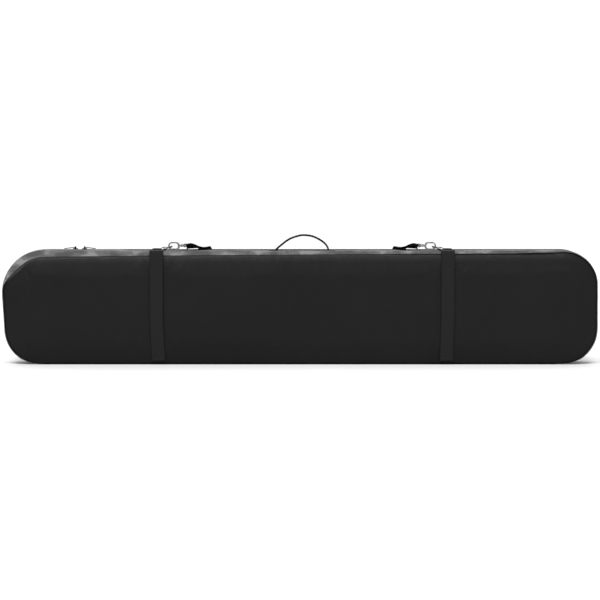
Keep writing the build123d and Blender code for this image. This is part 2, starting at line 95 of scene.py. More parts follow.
# ---- outline of the bag's side ----
def make_outline():
    """Line and arc pieces of the side outline, clockwise from the middle of the bottom, each as
    (length, point at a share of it, outward normal at a share of it)."""
    lean_at_arc = END_LEAN * CORNERS["top_left"] / HEIGHT
    left = -HALF - lean_at_arc
    corners = [
        (Vector((left + END_LEAN, 0.0)), CORNERS["bottom_left"]),
        (Vector((left, HEIGHT)), CORNERS["top_left"]),
        (Vector((HALF, HEIGHT)), CORNERS["top_right"]),
        (Vector((HALF, 0.0)), CORNERS["bottom_right"]),
    ]
    arcs = []
    for i, (corner, radius) in enumerate(corners):
        before = (corner - corners[i - 1][0]).normalized()
        after = (corners[(i + 1) % 4][0] - corner).normalized()
        turn = before.angle(after)
        reach = radius * math.tan(turn / 2)
        start = corner - before * reach
        normal = Vector((-before.y, before.x))
        arcs.append((start, start - normal * radius, radius, normal, turn, corner + after * reach))
    pieces = []
    for i, (start, centre, radius, normal, turn, _) in enumerate(arcs):
        previous_end = arcs[i - 1][5]
        pieces.append(((start - previous_end).length, previous_end, start, normal, None))
        pieces.append((radius * turn, centre, radius, normal, turn))
    return pieces


OUTLINE = make_outline()
PERIMETER = sum(piece[0] for piece in OUTLINE)


def outline_at(s):
    """Point and outward normal of the outline at a distance along it."""
    s = s % PERIMETER
    for length, a, b, normal, turn in OUTLINE:
        if s <= length:
            share = s / length
            if turn is None:
                return a + (b - a) * share, normal
            angle = -turn * share
            n = Vector((
                normal.x * math.cos(angle) - normal.y * math.sin(angle),
                normal.x * math.sin(angle) + normal.y * math.cos(angle),
            ))
            return a + n * b, n
        s -= length
    return outline_at(0.0)


def find_s(test):
    """First distance along the outline where a test of the point holds."""
    s = 0.0
    while s < PERIMETER:
        if test(outline_at(s)[0]):
            return s
        s += 0.0005
    return PERIMETER


S_LEFT_LOW = find_s(lambda p: p.x < -SEAM_X and p.y < HEIGHT / 2)
S_ZIP_LEFT = find_s(lambda p: p.x < -SEAM_X and p.y > ZIP_END_Z)
S_TOP_LEFT = find_s(lambda p: p.x > -SEAM_X and p.y > HEIGHT / 2)
S_TOP_RIGHT = find_s(lambda p: p.x > SEAM_X and p.y > HEIGHT / 2)
S_ZIP_RIGHT = find_s(lambda p: p.x > SEAM_X and p.y < ZIP_END_Z and p.y > 0.05)
S_BOTTOM_RIGHT = find_s(lambda p: p.x < SEAM_X and p.y < HEIGHT / 2)
S_RIGHT_LOW = S_BOTTOM_RIGHT + PERIMETER


RIM_SIDES = (("top_gusset", S_TOP_LEFT, S_TOP_RIGHT), ("left_end", S_LEFT_LOW, S_TOP_LEFT),
             ("right_end", S_TOP_RIGHT, S_RIGHT_LOW), ("bottom_gusset", S_BOTTOM_RIGHT, S_LEFT_LOW))


def share_of(value):
    """A value kept from 0 to 1."""
    return min(max(value, 0.0), 1.0)


def stations(s0, s1, step):
    count = max(2, int(round((s1 - s0) / step)) + 1)
    return [s0 + (s1 - s0) * k / (count - 1) for k in range(count)]


def ripple(x, y, z, scale, seed):
    """Smooth noise from -1 to 1 with bumps about scale wide."""
    return noise.noise(Vector((x / scale + seed * 7.3, y / scale + seed * 3.1, z / scale + seed * 5.7)))


# ---- mesh helpers ----
def new_piece(name, verts, faces, smooth=True):
    mesh = bpy.data.meshes.new(name)
    mesh.from_pydata([tuple(v) for v in verts], [], faces)
    mesh.update()
    piece = bpy.data.objects.new(name, mesh)
    bpy.context.scene.collection.objects.link(piece)
    if smooth:
        shade_smooth(piece)
    return piece


def shade_smooth(piece):
    piece.data.polygons.foreach_set("use_smooth", [True] * len(piece.data.polygons))


def clean(piece, distance=1e-5):
    bm = bmesh.new()
    bm.from_mesh(piece.data)
    bmesh.ops.remove_doubles(bm, verts=bm.verts, dist=distance)
    bmesh.ops.recalc_face_normals(bm, faces=bm.faces)
    bm.to_mesh(piece.data)
    bm.free()


def apply_modifiers(piece):
    graph = bpy.context.evaluated_depsgraph_get()
    mesh = bpy.data.meshes.new_from_object(piece.evaluated_get(graph))
    old = piece.data
    piece.modifiers.clear()
    piece.data = mesh
    mesh.name = piece.name
    bpy.data.meshes.remove(old)


def grid_faces(rows, columns, closed=False):
    """Quads of a grid of rows x columns points, stored row by row."""
    faces = []
    for r in range(rows - 1):
        for c in range(columns - (0 if closed else 1)):
            d = (c + 1) % columns
            faces.append((r * columns + c, r * columns + d, (r + 1) * columns + d, (r + 1) * columns + c))
    return faces


def slab_mesh(name, outer, inner, rows, columns, closed=False):
    """Closed sheet between an outer and an inner grid of points."""
    count = rows * columns
    verts = list(outer) + list(inner)
    top = grid_faces(rows, columns, closed)
    faces = list(top) + [tuple(count + i for i in reversed(face)) for face in top]
    for r in range(rows - 1):
        for c in (() if closed else (0, columns - 1)):
            a, b = r * columns + c, (r + 1) * columns + c
            faces.append((a, b, count + b, count + a))
    for c in range(columns - (0 if closed else 1)):
        d = (c + 1) % columns
        for r in (0, rows - 1):
            a, b = r * columns + c, r * columns + d
            faces.append((a, b, count + b, count + a))
    piece = new_piece(name, verts, faces)
    clean(piece, 1e-7)
    return piece


def finish_piece(piece, body, material, replaced=(), levels=0):
    """Gives a piece its material and its CAD body, smooths it if levels are given, and hides the nodes that
    it stands for.
    """
    piece.data.materials.clear()
    piece.data.materials.append(material)
    if levels:
        modifier = piece.modifiers.new("smooth", "SUBSURF")
        modifier.levels = levels
        modifier.render_levels = levels
        apply_modifiers(piece)
        shade_smooth(piece)
    if replaced:
        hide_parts(*replaced)
    if body:
        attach(piece, body)
    return piece


def join(name, pieces):
    """One object out of several meshes."""
    verts, faces = [], []
    for piece in pieces:
        start = len(verts)
        verts += [piece.matrix_world @ v.co for v in piece.data.vertices]
        faces += [tuple(start + i for i in face.vertices) for face in piece.data.polygons]
        mesh = piece.data
        bpy.data.objects.remove(piece)
        bpy.data.meshes.remove(mesh)
    return new_piece(name, verts, faces)


# ---- materials ----
class Shader:
    """A node material with a few short helpers."""

    def __init__(self, name):
        self.material = bpy.data.materials.new(name)
        self.material.use_nodes = True
        self.tree = self.material.node_tree
        self.tree.nodes.clear()
        output = self.tree.nodes.new("ShaderNodeOutputMaterial")
        self.shader = self.tree.nodes.new("ShaderNodeBsdfPrincipled")
        self.link(self.shader.outputs[0], output.inputs[0])
        self.place = self.tree.nodes.new("ShaderNodeTexCoord").outputs["Object"]

    def link(self, a, b):
        self.tree.links.new(a, b)

    def set(self, **values):
        for key, value in values.items():
            self.shader.inputs[key.replace("_", " ")].default_value = value

    def node(self, kind, **inputs):
        made = self.tree.nodes.new("ShaderNode" + kind)
        for key, value in inputs.items():
            made.inputs[key].default_value = value
        return made

    def scaled(self, x, y, z):
        node = self.node("Mapping", Scale=(x, y, z))
        self.link(self.place, node.inputs["Vector"])
        return node.outputs[0]

    def noise(self, scale, detail=2.0, rough=0.5, vector=None):
        node = self.node("TexNoise", Scale=scale, Detail=detail, Roughness=rough)
        self.link(vector or self.place, node.inputs["Vector"])
        return node.outputs["Fac"]

    def wave(self, direction, scale, vector=None):
        node = self.node("TexWave", Scale=scale)
        node.bands_direction = direction
        self.link(vector or self.place, node.inputs["Vector"])
        return node.outputs["Fac"]

    def math(self, operation, a, b):
        node = self.node("Math")
        node.operation = operation
        for socket, value in zip(node.inputs, (a, b)):
            if isinstance(value, (int, float)):
                socket.default_value = value
            else:
                self.link(value, socket)
        return node.outputs[0]

    def ramp(self, value, stops):
        node = self.tree.nodes.new("ShaderNodeValToRGB")
        elements = node.color_ramp.elements
        while len(elements) < len(stops):
            elements.new(0.5)
        for element, (position, color) in zip(elements, stops):
            element.position = position
            element.color = color if len(color) == 4 else (*color, 1.0)
        self.link(value, node.inputs[0])
        return node.outputs[0]

    def tone(self, value, stops, socket="Base Color"):
        """Drives one of the shader's inputs by a value through a ramp."""
        self.link(self.ramp(value, stops), self.shader.inputs[socket])

    def add(self, a, b, share=1.0):
        """Sum of one height and a share of another."""
        return self.math("ADD", a, self.math("MULTIPLY", b, share))

    def bump(self, height, strength, distance):
        node = self.node("Bump", Strength=strength, Distance=distance)
        self.link(height, node.inputs["Height"])
        self.link(node.outputs[0], self.shader.inputs["Normal"])


def grey(value, tint=(1.0, 1.0, 1.0)):
    return tuple(value * t for t in tint)


def band_scale(period):
    """Scale of a wave texture whose bands are a period apart."""
    return 1.0 / period / 3.14


def weave(shader, across, along, period):
    """Height of a plain weave of threads along two axes."""
    scale = band_scale(period)
    return shader.math("ADD", shader.wave(across, scale), shader.wave(along, scale))


def black_fabric():
    """Coated black polyester with a fine plain weave."""
    m = Shader("black_polyester")
    m.set(Specular_IOR_Level=0.17)
    cloudy = m.noise(5.0, 4.0, 0.6)
    m.tone(cloudy, [(0.3, grey(0.0024)), (0.7, grey(0.0038, (1, 1, 1.14)))])
    m.tone(m.noise(60.0, 3.0), [(0.3, grey(0.44)), (0.7, grey(0.54))], "Roughness")
    creases = m.noise(14.0, 5.0, 0.55)
    threads = m.math("MULTIPLY", weave(m, "X", "Z", 0.0011), 0.10)
    m.bump(m.add(threads, creases, 3.0), 0.35, 0.0012)
    return m.material


def heather_fabric():
    """Grey fabric with lighter and darker patches and a flecked yarn."""
    m = Shader("grey_heather")
    m.set(Roughness=0.85, Sheen_Weight=0.02, Sheen_Roughness=0.5, Specular_IOR_Level=0.12)
    patches = m.noise(16.0, 3.0, 0.5, m.scaled(1.0, 1.9, 1.9))
    flecks = m.noise(900.0, 2.0, 0.7, m.scaled(1.0, 0.3, 1.0))
    streaks = m.noise(120.0, 3.0, 0.6, m.scaled(0.5, 1.0, 1.0))
    mixed = m.add(patches, m.math("SUBTRACT", flecks, 0.5), 0.22)
    mixed = m.add(mixed, m.math("SUBTRACT", streaks, 0.5), 0.16)
    tones = [
        (0.36, grey(0.072)),
        (0.44, grey(0.084)),
        (0.455, grey(0.112)),
        (0.545, grey(0.128, (1.0, 1.0, 0.98))),
        (0.56, grey(0.180)),
        (0.66, grey(0.215)),
    ]
    m.tone(mixed, tones)
    threads = m.math("MULTIPLY", weave(m, "X", "Y", 0.0012), 0.15)
    m.bump(m.add(threads, m.noise(18.0, 4.0), 2.0), 0.4, 0.001)
    return m.material


def webbing(name, axis, dark=0.0060, light=0.0100):
    """Ribbed black webbing whose ribs run across the named axis."""
    m = Shader(name)
    m.set(Roughness=0.68, Specular_IOR_Level=0.15)
    ribs = m.wave(axis, band_scale(0.0022))
    threads = m.noise(1500.0, 2.0, 0.6)
    mixed = m.add(m.math("MULTIPLY", ribs, 0.6), threads, 0.4)
    m.tone(mixed, [(0.2, grey(dark)), (0.8, grey(light, (1, 1, 1.04)))])
    m.bump(m.add(ribs, threads, 0.4), 0.6, 0.0005)
    return m.material


def plain(name, low, high, roughness, scale, tint=(1, 1, 1), metallic=0.0, bump=0.25, depth=0.0003,
          level=0.4):
    """Moulded plastic, thread, foam or metal with uneven tone, roughness and surface. On the steel the uneven
    tone is painted reflection: dark and light blotches in its colour.
    """
    m = Shader(name)
    m.set(Metallic=metallic, Specular_IOR_Level=level)
    # random mottle of tone; on the steel this wide dark-to-light range is painted reflection
    mottle_and_painted_reflection = m.noise(scale, 4.0, 0.6)
    m.tone(mottle_and_painted_reflection, [(0.3, grey(low, tint)), (0.7, grey(high, tint))])
    worn = m.noise(scale * 2.7, 3.0, 0.6)
    m.tone(worn, [(0.3, grey(roughness * 0.8)), (0.7, grey(roughness * 1.2))], "Roughness")
    m.bump(m.noise(scale * 5.0, 3.0, 0.6), bump, depth)
    return m.material


def quilted_lining():
    """Smooth dark lining with stitched lines 60 mm apart."""
    m = Shader("quilted_lining")
    m.set(Roughness=0.5, Specular_IOR_Level=0.25)
    channels = m.math("POWER", m.wave("X", band_scale(QUILT)), 0.25)
    m.tone(m.noise(25.0, 4.0, 0.6), [(0.3, grey(0.020)), (0.7, grey(0.030, (1, 1, 1.06)))])
    m.bump(m.add(channels, weave(m, "X", "Z", 0.0010), 0.05), 0.5, 0.004)
    return m.material


BLACK = black_fabric()
GREY = heather_fabric()
LINING = quilted_lining()
WEB_UP = webbing("webbing_upright", "Z")
WEB_ALONG = webbing("webbing_along", "X")
WEB_DEEP = webbing("webbing_across", "Y")
THREAD = plain("sewing_thread", 0.010, 0.018, 0.55, 400.0, (1, 1, 1.05))
FOAM = plain("closed_cell_foam", 0.022, 0.034, 0.9, 300.0, bump=0.6, depth=0.0005, level=0.1)
TAPE = webbing("zipper_tape_weave", "X", 0.004, 0.008)
COIL = plain("nylon_coil", 0.008, 0.014, 0.42, 500.0)
DARK_METAL = plain("black_coated_metal", 0.006, 0.012, 0.55, 220.0, bump=0.1, level=0.08)
# steel colour with painted reflection: noise blotches from 0.07 to 0.34 stand in for reflections
STEEL_PAINTED_REFLECTIONS = plain("polished_steel_painted_reflections", 0.07, 0.34, 0.20, 110.0, (1, 1, 1.02), metallic=1.0, bump=0.08)
PLASTIC = plain("moulded_acetal", 0.012, 0.020, 0.42, 260.0, bump=0.15)


# ---- gusset and return strips ----
EDGE_DROP = 0.0080       # how far the panel's edge curves back at the seam


def seam_inset(x, z):
    """How far the gusset laps onto the back panel: most at the top left, and not at all low down
    or at the right."""
    share = share_of((x + HALF) / (2 * HALF))
    top = 0.0200 - 0.0150 * share ** 0.5
    right = share_of((0.80 - x) / 0.20)
    height = share_of((z - 0.205) / 0.085)
    return 0.0006 + (top - 0.0006) * right * height * height * (3 - 2 * height)


def rim_profile(y_from, y_to, roll_from, roll_to):
    """Cross-section of a rim strip as (inset, depth, inward inset, inward depth): an optional rolled
    edge at either end and a straight run between."""
    points = []
    turns = 7
    if roll_from:
        for k in range(turns):
            angle = math.pi / 2 * k / turns
            points.append((0.0, y_from + BACK_ROLL * (1 - math.cos(angle)), math.sin(angle), math.cos(angle)))
        start = y_from + BACK_ROLL
    else:
        start = y_from
    end = y_to - ROLL if roll_to else y_to
    runs = max(3, int((end - start) / 0.010))
    for k in range(runs + 1):
        points.append((0.0, start + (end - start) * k / runs, 1.0, 0.0))
    if roll_to:
        for k in range(1, turns + 1):
            angle = math.pi / 2 * k / turns
            points.append((ROLL * (1 - math.cos(angle)), end + ROLL * math.sin(angle),
                           math.cos(angle), -math.sin(angle)))
    return points


# Where the top stays flat, under the shoulder strap's fittings and the handle: middle and half length.
FLAT_PLACES = [(FITTINGS_X - 0.365, 0.10), (FITTINGS_X + 0.365, 0.10), (FITTINGS_X, 0.11)]


def swell(x, y, z, y_from, y_to, rise):
    """Outward swell of a padded strip, highest midway between its edges, with soft puckers."""
    share = share_of((y - y_from) / (y_to - y_from))
    crown = math.sin(math.pi * share) ** 0.7
    if z > HEIGHT / 2:
        for middle, reach in FLAT_PLACES:
            crown *= share_of((abs(x - middle) - reach) / 0.05)
    puckers = 0.5 + 0.5 * ripple(x, y * 0.35, z, 0.035, 2)
    waves = 0.5 + 0.5 * ripple(x, y * 0.2, z, 0.16, 5)
    if z > HEIGHT / 2 and rise > 0.003:
        sag = 0.55 if x > -0.40 else 1.0
        return crown * rise * sag * (0.55 + 0.45 * waves) + 0.0008 * puckers
    return crown * rise * (0.35 + 0.65 * waves) + 0.0010 * puckers * (0.3 + 0.7 * crown)


def lap_profile(seam, y_from):
    """Rounded edge of the gusset, from its seam with the back panel out to the straight run."""
    points = []
    for k in range(10):
        angle = math.pi / 2 * k / 10
        y = y_from + EDGE_DROP + (BACK_ROLL - EDGE_DROP) * (1 - math.cos(angle))
        points.append((seam * (1 - math.sin(angle)), y, math.sin(angle), math.cos(angle)))
    return points


def rim_strip(name, s0, s1, y_from, y_to, roll_from, roll_to, rise, lap=0.0):
    """Padded strip of the rim as a closed sheet. A lap carries the rolled edge on over the back panel."""
    profile = rim_profile(y_from, y_to, roll_from, roll_to)
    outer, inner = [], []
    along = stations(s0, s1, STEP)
    for s in along:
        p, n = outline_at(s)
        rows = list(profile)
        if lap:
            rows = lap_profile(seam_inset(p.x, p.y), y_from) + rows[7:]
        for inset, y, inward, forward in rows:
            out = swell(p.x, y, p.y, y_from, y_to, rise) if p.y > 0.04 or abs(n.x) > 0.5 else 0.0
            if n.y < -0.85:
                out = min(out, 0.0)
            a = inset - out * inward
            outer.append((p.x - n.x * a, y - out * forward * 0.3, p.y - n.y * a))
            b = inset + CLOTH * inward
            inner.append((p.x - n.x * b, y + CLOTH * forward, p.y - n.y * b))
    return slab_mesh(name, outer, inner, len(along), len(outer) // len(along))


def build_gusset():
    strips = (
        ("top_gusset_fabric", S_TOP_LEFT, S_TOP_RIGHT, GREY, "grey_shell", "top_gusset_shell"),
        ("left_end_fabric", S_LEFT_LOW, S_TOP_LEFT, GREY, "grey_shell", "left_end_shell"),
        ("right_end_fabric", S_TOP_RIGHT, S_RIGHT_LOW, GREY, "grey_shell", "right_end_shell"),
    )
    for name, s0, s1, material, slot, node in strips:
        runs = ((max(s0, S_ZIP_LEFT), min(s1, S_ZIP_RIGHT), BODY_EDGE_Y - COIL_GAP),
                (s0, S_ZIP_LEFT, LOWER_EDGE_Y), (S_ZIP_RIGHT, s1, LOWER_EDGE_Y))
        pieces = [rim_strip(name, a, b, BACK_Y, edge, True, False, SWELL, 1.0)
                  for a, b, edge in runs if a < b]
        piece = join(name, pieces) if len(pieces) > 1 else pieces[0]
        piece.name = name
        finish_piece(piece, "bag_body", material, (node,))
    bottom = rim_strip(
        "bottom_gusset_fabric", S_BOTTOM_RIGHT, S_LEFT_LOW, BACK_Y, LOWER_EDGE_Y, True, False, 0.0, 1.0
    )
    finish_piece(bottom, "bag_body", BLACK, ("bottom_gusset_shell",))
    back = rim_strip(
        "lid_return_fabric", S_ZIP_LEFT, S_ZIP_RIGHT, LID_EDGE_Y + COIL_GAP, LID_Y, False, True, 0.0015
    )
    finish_piece(back, "lid", GREY, ("lid_return_shell",))


# ---- large panels ----
def panel_grid(inset_at, depth_at, floor=0.0):
    """Rings of points from the edge of a side panel in to its spine."""
    along = stations(0.0, PERIMETER, STEP)[:-1]
    rings = 1 + int(HEIGHT / 2 / STEP) + 6
    rows = []
    for k in range(rings + 1):
        share = (k / rings) ** 1.35
        for s in along:
            p, n = outline_at(s)
            edge = p - n * inset_at(p.x, p.y)
            edge.y = max(edge.y, floor)
            spine = Vector((min(max(edge.x, -HALF + SPINE), HALF - SPINE), SPINE))
            q = edge + (spine - edge) * share
            rows.append((q.x, depth_at(q.x, q.y, (q - edge).length), q.y))
    return rows, rings + 1, len(along)


def settle(piece, pinned, push, frames=18, slack=-0.004, cap=0.0035):
    """Lets a sheet swell under a steady push while its pinned points stay, and caps how far it moves."""
    group = piece.vertex_groups.new(name="pinned")
    for index, weight in pinned:
        group.add([index], weight, "REPLACE")
    start = [v.co.copy() for v in piece.data.vertices]
    scene = bpy.context.scene
    scene.gravity = push
    cloth = piece.modifiers.new("cloth", "CLOTH")
    settings = {
        "quality": 6, "mass": 0.25, "air_damping": 4, "shrink_min": slack, "vertex_group_mass": "pinned",
        "tension_stiffness": 30, "compression_stiffness": 30, "shear_stiffness": 12, "bending_stiffness": 1.2,
    }
    for key, value in settings.items():
        setattr(cloth.settings, key, value)
    cloth.collision_settings.use_collision = False
    cloth.point_cache.frame_start = 1
    cloth.point_cache.frame_end = frames
    for number in range(1, frames + 1):
        scene.frame_set(number)
    apply_modifiers(piece)
    for vertex, rest in zip(piece.data.vertices, start):
        move = vertex.co - rest
        if move.length > cap:
            vertex.co = rest + move * (cap / move.length)
    scene.frame_set(1)
    scene.gravity = (0.0, 0.0, -9.81)


def thicken(piece, towards):
    """Gives a sheet its cloth thickness on the side that a direction points to."""
    bm = bmesh.new()
    bm.from_mesh(piece.data)
    bmesh.ops.recalc_face_normals(bm, faces=bm.faces)
    total = sum((face.normal * face.calc_area() for face in bm.faces), Vector())
    if total.dot(towards) > 0:
        bmesh.ops.reverse_faces(bm, faces=bm.faces)
    bm.to_mesh(piece.data)
    bm.free()
    solid = piece.modifiers.new("thickness", "SOLIDIFY")
    solid.thickness = CLOTH
    solid.offset = -1.0
    apply_modifiers(piece)
    shade_smooth(piece)


def cloth_panel(name, body, material, slot, node, grid, pins, push, towards, **limits):
    """Outer fabric of a side panel, let swell where it isn't pinned."""
    rows, ring_count, columns = grid
    piece = new_piece(name, rows, grid_faces(ring_count, columns, closed=True))
    clean(piece, 2e-4)
    settle(piece, pins(piece), push, **limits)
    thicken(piece, towards)
    finish_piece(piece, body, material, (node,), levels=1)


def build_back_panel():
    def depth(x, z, reach):
        rounding = EDGE_DROP * math.exp(-(reach / EDGE_FOLD) ** 1.3)
        hollow = 0.0016 * (0.5 + 0.5 * ripple(x, 0, z, 0.30, 8)) * min(reach / 0.08, 1.0)
        creases = 0.0009 * ripple(x, 0, z * 0.5, 0.05, 11)
        tuck = 0.0010 * math.exp(-(reach / 0.0025) ** 2)
        dome = 0.0032 * math.exp(-reach / 0.045)
        return BACK_Y + 0.0004 + rounding + dome + tuck + hollow + creases

    def pins(piece):
        pinned = []
        for v in piece.data.vertices:
            near_strap = min(abs(v.co.x - x) for x in STRAPS) < STRAP_WIDTH / 2
            loose = share_of((edge_distance(v.co) - 0.022) / 0.040)
            if near_strap or loose < 1.0:
                pinned.append((v.index, 1.0 if near_strap else (1.0 - loose) ** 2))
        return pinned

    grid = panel_grid(lambda x, z: seam_inset(x, z) - 0.0005, depth)
    cloth_panel("back_panel_fabric", "bag_body", BLACK, "black_shell", "back_panel_shell", grid, pins,
                (0.0, -1.2, -0.8), ACROSS)


def edge_distance(co):
    """Distance in from the side outline, near enough for a point inside it."""
    best = 1.0
    for s in EDGE_SAMPLES:
        best = min(best, math.hypot(co.x - s[0], co.z - s[1]))
    return best


EDGE_SAMPLES = [tuple(outline_at(s)[0]) for s in stations(0.0, PERIMETER, 0.02)]


def build_lid_panel():
    def depth(x, z, reach):
        rounding = ROLL * max(0.0, 1 - reach / ROLL) ** 2 * 0.15
        hollow = 0.003 * (0.5 + 0.5 * ripple(x, 0, z, 0.28, 21)) * min(reach / 0.08, 1.0)
        return LID_Y - rounding - hollow + 0.0007 * ripple(x, 0, z * 0.5, 0.05, 23)

    def pins(piece):
        return [(v.index, 1.0) for v in piece.data.vertices if edge_distance(v.co) < 0.024 or v.co.z < 0.012]

    grid = panel_grid(lambda x, z: ROLL * 0.92, depth, LID_LO.z)
    cloth_panel("lid_fabric", "lid", GREY, "grey_shell", "lid_shell", grid, pins,
                (0.0, 0.9, -0.8), -ACROSS, cap=0.003)


def panel_foam(name, body, node, y_out, y_in, inset, floor=0.0):
    """Foam sheet behind a panel, with edges that stay inside the rolled seams."""
    out_rows, ring_count, columns = panel_grid(lambda x, z: inset, lambda x, z, reach: y_out, floor)
    in_rows, _, _ = panel_grid(lambda x, z: inset, lambda x, z, reach: y_in, floor)
    piece = slab_mesh(name, out_rows, in_rows, ring_count, columns, closed=True)
    clean(piece, 2e-4)
    finish_piece(piece, body, FOAM, (node,))


def rim_sheet(s0, s1, y_from, y_to, depth_out, depth_in, dents, seed):
    """Sheet under one run of the rim, between two depths inside the outline, with soft dents."""
    along = stations(s0, s1, 0.010)
    outer, inner = [], []
    for s in along:
        p, n = outline_at(s)
        for k in range(8):
            y = y_from + (y_to - y_from) * k / 7
            dent = dents * (0.5 + 0.5 * ripple(p.x, y, p.y, 0.05, seed))
            outer.append((p.x - n.x * (depth_out + dent), y, p.y - n.y * (depth_out + dent)))
            inner.append((p.x - n.x * (depth_in + dent), y, p.y - n.y * (depth_in + dent)))
    return slab_mesh("sheet", outer, inner, len(along), 8)


def rim_run(name, s0, s1, y_from, y_to, depth_out, depth_in, dents, seed):
    """Sheets for one side of the rim: to the zipper above its ends, and to the lid below them."""
    pieces = []
    for part_from, part_to, edge in ((max(s0, S_ZIP_LEFT), min(s1, S_ZIP_RIGHT), BODY_EDGE_Y - 0.0006),
                                     (s0, min(s1, S_ZIP_LEFT), y_to), (max(s0, S_ZIP_RIGHT), s1, y_to)):
        if part_to - part_from > 0.01:
            sheet_to = min(edge, y_to)
            pieces.append(rim_sheet(part_from, part_to, y_from, sheet_to, depth_out, depth_in, dents, seed))
    piece = join(name, pieces)
    clean(piece, 1e-7)
    return piece


def quilted_panel(name, body, node, y_out, y_in, inset, drop, floor=0.0):
    """Lining of a side panel, puffed between its stitched lines, with its edge drawn in to the seam."""
    towards = 1 if y_in > y_out else -1

    def puff(x, reach):
        channel = abs(math.sin(math.pi * x / QUILT)) ** 0.5
        fall = drop * math.exp(-(reach / EDGE_FOLD) ** 1.3)
        return towards * (0.0009 * channel * min(reach / 0.02, 1.0) + fall)

    def face(y):
        return panel_grid(lambda x, z: inset, lambda x, z, reach: y + puff(x, reach), floor)

    out_rows, ring_count, columns = face(y_out)
    in_rows, _, _ = face(y_in)
    piece = slab_mesh(name, out_rows, in_rows, ring_count, columns, closed=True)
    clean(piece, 2e-4)
    finish_piece(piece, body, LINING, (node,))


def build_linings():
    low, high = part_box("back_panel_lining")
    quilted_panel("back_panel_quilting", "bag_body", "back_panel_lining", low.y, high.y, 0.0085, 0.0030)
    low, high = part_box("lid_lining")
    quilted_panel("lid_quilting", "lid", "lid_lining", high.y, low.y, 0.0075, 0.0, low.z + 0.001)
    for name, s0, s1 in RIM_SIDES:
        low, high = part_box(f"{name}_lining")
        piece = rim_run(f"{name}_inner_fabric", s0, s1, low.y + 0.003, high.y, 0.0072, 0.0080, 0.0006, 41)
        finish_piece(piece, "bag_body", LINING, (f"{name}_lining",))
    low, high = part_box("inner_seam_binding")
    binding = rim_sheet(0.0, PERIMETER, low.y + 0.001, high.y, 0.0078, 0.0092, 0.0004, 43)
    binding.name = "seam_binding_tape"
    finish_piece(binding, "bag_body", WEB_ALONG, ("inner_seam_binding",))
    low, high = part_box("lid_return_foam")
    padding = rim_sheet(S_ZIP_LEFT, S_ZIP_RIGHT, low.y + 0.0006, high.y, 0.0018, 0.0071, 0.0002, 45)
    padding.name = "lid_return_padding"
    finish_piece(padding, "lid", FOAM, ("lid_return_foam",))


def build_tie_downs():
    """Webbings sewn to the back panel's lining, each with a stitched fold at its buckle."""
    for side in ("left", "right"):
        for half in ("upper", "lower"):
            low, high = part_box(f"{side}_{half}_tie_webbing")
            x = (low.x + high.x) / 2
            sewn, free = (high.z - 0.014, low.z) if half == "upper" else (low.z + 0.014, high.z)
            way = 1 if free > sewn else -1
            flat = high.y - 0.0009
            route = [Vector((x, low.y + 0.0024, sewn)), Vector((x, low.y + 0.0024, sewn + way * 0.010)),
                     Vector((x + 0.0006, flat - 0.0004, sewn + way * 0.024)),
                     Vector((x - 0.0008, flat, (sewn + free) / 2)), Vector((x, flat, free - way * 0.012)),
                     Vector((x, flat, free))]
            path = smooth_path(route, 40)
            ups = [ALONG.cross(t) * way * -1 for t in flat_path(path)]
            ups = [u if u.y > 0 else -u for u in ups]
            piece = ribbon(f"{side}_{half}_tie", path, ALONG, ups, high.x - low.x, 0.0015)
            finish_piece(piece, "bag_body", WEB_UP, (f"{side}_{half}_tie_webbing",))
            middle = Vector((x, flat + 0.0009, free - way * 0.016))
            stitches(f"{side}_{half}_tie_stitches",
                     box_stitch(middle, 0.008, 0.009, Vector((0, 0, way)), ALONG), "bag_body")


def build_foam():
    low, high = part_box("back_panel_foam")
    panel_foam("back_panel_padding", "bag_body", "back_panel_foam", low.y + 0.0052, high.y, 0.052, 0.010)
    for name, s0, s1 in RIM_SIDES:
        low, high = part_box(f"{name}_foam")
        piece = rim_run(f"{name}_padding", s0, s1, low.y + 0.007, high.y, 0.0018, 0.0071, 0.0002, 31)
        finish_piece(piece, "bag_body", FOAM, (f"{name}_foam",))
    low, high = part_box("lid_foam")
    panel_foam("lid_padding", "lid", "lid_foam", high.y - 0.004, low.y, 0.012, low.z + 0.002)


# ---- stitching ----
def stitch_row(points, normals, length=0.0030, gap=0.0014, radius=0.00035):
    """Short raised thread stitches along a line of points."""
    verts, faces = [], []
    lengths = [0.0]
    for a, b in zip(points, points[1:]):
        lengths.append(lengths[-1] + (b - a).length)
    total = lengths[-1]
    at, k = gap, 0

    def place(distance):
        nonlocal k
        while k < len(lengths) - 2 and lengths[k + 1] < distance:
            k += 1
        share = (distance - lengths[k]) / max(lengths[k + 1] - lengths[k], 1e-9)
        return points[k].lerp(points[k + 1], share), normals[k].lerp(normals[k + 1], share).normalized()

    while at + length < total:
        a, up = place(at)
        b, _ = place(at + length)
        along = (b - a).normalized()
        side = along.cross(up)
        start = len(verts)
        for share, size in ((0.0, 0.45), (0.2, 1.0), (0.8, 1.0), (1.0, 0.45)):
            middle = a.lerp(b, share) + up * (radius * (0.5 if size < 1 else 0.9))
            for angle in (0, 1, 2, 3, 4):
                turn = math.pi * angle / 4
                reach = radius * size
                verts.append(middle + side * (math.cos(turn) * reach) + up * (math.sin(turn) * reach))
        for r in range(3):
            for c in range(4):
                q = start + r * 5 + c
                faces.append((q, q + 1, q + 6, q + 5))
            faces.append((start + r * 5 + 4, start + r * 5, start + r * 5 + 5, start + r * 5 + 9))
        faces.append(tuple(start + i for i in (4, 3, 2, 1, 0)))
        faces.append(tuple(start + 15 + i for i in (0, 1, 2, 3, 4)))
        at += length + gap
    return verts, faces


def stitches(name, rows, body):
    verts, faces = [], []
    for points, normals in rows:
        v, f = stitch_row(points, normals)
        start = len(verts)
        verts += v
        faces += [tuple(start + i for i in face) for face in f]
    piece = new_piece(name, verts, faces)
    clean(piece, 1e-7)
    return finish_piece(piece, body, THREAD)


